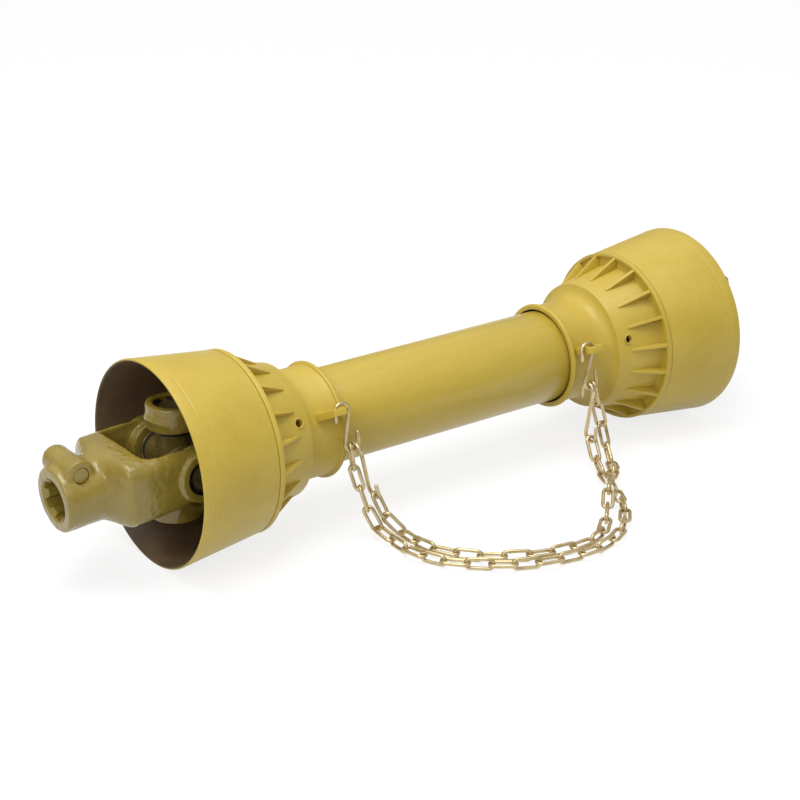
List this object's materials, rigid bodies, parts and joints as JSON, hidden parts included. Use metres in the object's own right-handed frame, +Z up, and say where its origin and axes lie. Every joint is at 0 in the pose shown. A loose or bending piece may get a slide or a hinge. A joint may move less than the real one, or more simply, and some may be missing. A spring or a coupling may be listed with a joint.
{
  "type": "universal joint shaft",
  "caption": "Guarded telescopic drive shaft: universal joints in yellow plastic bells, ribbed cones, sliding guard tubes, splined yokes with push pins and hooked guard chains.",
  "frame": {"origin": "on the floor under the middle of the closed shaft", "axes": "+X along the shaft away from the lowered yoke, +Z up; the guard chains lie towards -Y"},
  "size_m": [0.7551, 0.3004, 0.1753],
  "materials": {
    "guard_plastic": "satin moulded yellow guard plastic",
    "yoke_paint": "glossy olive-gold paint on forged steel",
    "forged_steel": "forged cross under the same thin paint",
    "bright_steel": "ground steel",
    "spring_steel": "blackened spring steel",
    "drawn_steel": "drawn profile tube, greased",
    "seal_rubber": "black sealing rubber",
    "bearing_nylon": "off-white nylon",
    "chain_zinc": "yellow zinc plated wire"
  },
  "bodies": {
    "guard_outer": {"guard_bell_left": "guard_plastic", "guard_cone_left": "guard_plastic", "guard_tube_outer": "guard_plastic", "slide_ring_left": "bearing_nylon", "lug_hook_left": "chain_zinc", "link_hook_left": "chain_zinc", "chain_strand_one": "chain_zinc", "chain_strand_two": "chain_zinc"},
    "guard_inner": {"guard_bell_right": "guard_plastic", "guard_cone_right": "guard_plastic", "guard_tube_inner": "guard_plastic", "slide_ring_right": "bearing_nylon", "lug_hook_right": "chain_zinc", "link_hook_right": "chain_zinc"},
    "shaft_outer": {"tube_yoke_left": "yoke_paint", "profile_tube_outer": "drawn_steel", "spring_pin_left": "spring_steel", "bearing_cup_left_top": "bright_steel", "bearing_seal_left_top": "seal_rubber", "snap_ring_left_top": "spring_steel", "bearing_cup_left_bottom": "bright_steel", "bearing_seal_left_bottom": "seal_rubber", "snap_ring_left_bottom": "spring_steel"},
    "shaft_inner": {"tube_yoke_right": "yoke_paint", "profile_tube_inner": "drawn_steel", "spring_pin_right": "spring_steel", "bearing_cup_right_top": "bright_steel", "bearing_seal_right_top": "seal_rubber", "snap_ring_right_top": "spring_steel", "bearing_cup_right_bottom": "bright_steel", "bearing_seal_right_bottom": "seal_rubber", "snap_ring_right_bottom": "spring_steel"},
    "cross_left": {"cross_left": "forged_steel", "grease_nipple_left": "bright_steel"},
    "end_yoke_left": {"end_yoke_left": "yoke_paint", "lock_retainer_left": "spring_steel", "lock_spring_left": "spring_steel", "bearing_cup_left_near": "bright_steel", "bearing_seal_left_near": "seal_rubber", "snap_ring_left_near": "spring_steel", "bearing_cup_left_far": "bright_steel", "bearing_seal_left_far": "seal_rubber", "snap_ring_left_far": "spring_steel"},
    "lock_pin_left": {"lock_pin_left": "yoke_paint"},
    "cross_right": {"cross_right": "forged_steel", "grease_nipple_right": "bright_steel"},
    "end_yoke_right": {"end_yoke_right": "yoke_paint", "lock_retainer_right": "spring_steel", "lock_spring_right": "spring_steel", "bearing_cup_right_near": "bright_steel", "bearing_seal_right_near": "seal_rubber", "snap_ring_right_near": "spring_steel", "bearing_cup_right_far": "bright_steel", "bearing_seal_right_far": "seal_rubber", "snap_ring_right_far": "spring_steel"},
    "lock_pin_right": {"lock_pin_right": "yoke_paint"}
  },
  "joints": [
    {"name": "shaft_spin", "type": "hinge", "parent": "guard_outer", "child": "shaft_outer", "pos_m": [0, 0, 0.08767], "axis": [1, 0, 0], "continuous": true},
    {"name": "shaft_telescope", "type": "slide", "parent": "shaft_outer", "child": "shaft_inner", "axis": [1, 0, 0], "range_m": [0, 0.15]},
    {"name": "guard_telescope", "type": "slide", "parent": "guard_outer", "child": "guard_inner", "axis": [1, 0, 0], "range_m": [0, 0.15], "deforming": ["chain_strand_one", "chain_strand_two"]},
    {"name": "left_cross_swing", "type": "hinge", "parent": "shaft_outer", "child": "cross_left", "pos_m": [-0.265, 0, 0.08767], "axis": [0, 0, 1], "range_deg": [-25, 25]},
    {"name": "left_yoke_swing", "type": "hinge", "parent": "cross_left", "child": "end_yoke_left", "pos_m": [-0.265, 0, 0.08767], "axis": [0, 1, 0], "range_deg": [-20.8, 29.2]},
    {"name": "left_lock_press", "type": "slide", "parent": "end_yoke_left", "child": "lock_pin_left", "axis": [0, -1, 0], "range_m": [0, 0.007], "stiffness_N_per_m": 1200, "springref_m": -0.006, "deforming": ["lock_spring_left"]},
    {"name": "right_cross_swing", "type": "hinge", "parent": "shaft_inner", "child": "cross_right", "pos_m": [0.265, 0, 0.08767], "axis": [0, 0, 1], "range_deg": [-45, 5]},
    {"name": "right_yoke_swing", "type": "hinge", "parent": "cross_right", "child": "end_yoke_right", "pos_m": [0.265, 0, 0.08767], "axis": [-0.342, 0.9397, 0], "range_deg": [-31, 19]},
    {"name": "right_lock_press", "type": "slide", "parent": "end_yoke_right", "child": "lock_pin_right", "axis": [-0.342, 0.9397, 0], "range_m": [0, 0.007], "stiffness_N_per_m": 1200, "springref_m": -0.006, "deforming": ["lock_spring_right"]}
  ],
  "couplings": [
    {"joint": "guard_telescope", "follows": "shaft_telescope", "ratio": 1}
  ]
}
